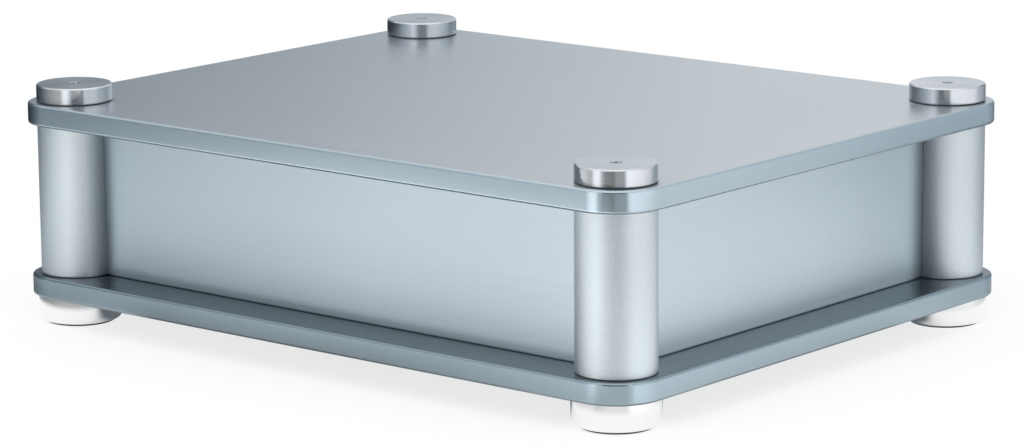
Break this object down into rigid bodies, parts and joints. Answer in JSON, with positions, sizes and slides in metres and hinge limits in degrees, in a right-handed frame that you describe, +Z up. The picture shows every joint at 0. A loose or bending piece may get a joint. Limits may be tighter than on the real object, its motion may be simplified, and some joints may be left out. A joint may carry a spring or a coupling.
{
  "type": "amplifier chassis",
  "caption": "Low aluminium amplifier case: thick plates with round corners on round corner pillars, plain brushed panels slotted between them, turned caps above and polished feet below.",
  "frame": {"origin": "middle of the footprint, on the surface that the foot pads stand on", "axes": "+Z up, +X to the right along the longest side, front panel facing -Y"},
  "size_m": [0.31, 0.246, 0.0956],
  "materials": {
    "plate_aluminium": "fine brushed and anodised",
    "panel_brushed_aluminium": "brushed along its length and anodised",
    "pillar_satin_aluminium": "bead-blasted satin, anodised",
    "cap_turned_aluminium": "fine turned",
    "foot_polished_aluminium": "polished",
    "pad_rubber": "matt black",
    "screw_steel": "zinc-plated"
  },
  "bodies": {
    "root": {"top_plate": "plate_aluminium", "bottom_plate": "plate_aluminium", "front_panel": "panel_brushed_aluminium", "rear_panel": "panel_brushed_aluminium", "left_panel": "panel_brushed_aluminium", "right_panel": "panel_brushed_aluminium", "pillar_front_left": "pillar_satin_aluminium", "pillar_front_right": "pillar_satin_aluminium", "pillar_rear_right": "pillar_satin_aluminium", "pillar_rear_left": "pillar_satin_aluminium", "cap_front_left": "cap_turned_aluminium", "cap_front_right": "cap_turned_aluminium", "cap_rear_right": "cap_turned_aluminium", "cap_rear_left": "cap_turned_aluminium", "foot_front_left": "foot_polished_aluminium", "foot_front_right": "foot_polished_aluminium", "foot_rear_right": "foot_polished_aluminium", "foot_rear_left": "foot_polished_aluminium", "foot_pad_front_left": "pad_rubber", "foot_pad_front_right": "pad_rubber", "foot_pad_rear_right": "pad_rubber", "foot_pad_rear_left": "pad_rubber", "foot_screw_front_left": "screw_steel", "foot_screw_front_right": "screw_steel", "foot_screw_rear_right": "screw_steel", "foot_screw_rear_left": "screw_steel"}
  },
  "joints": []
}
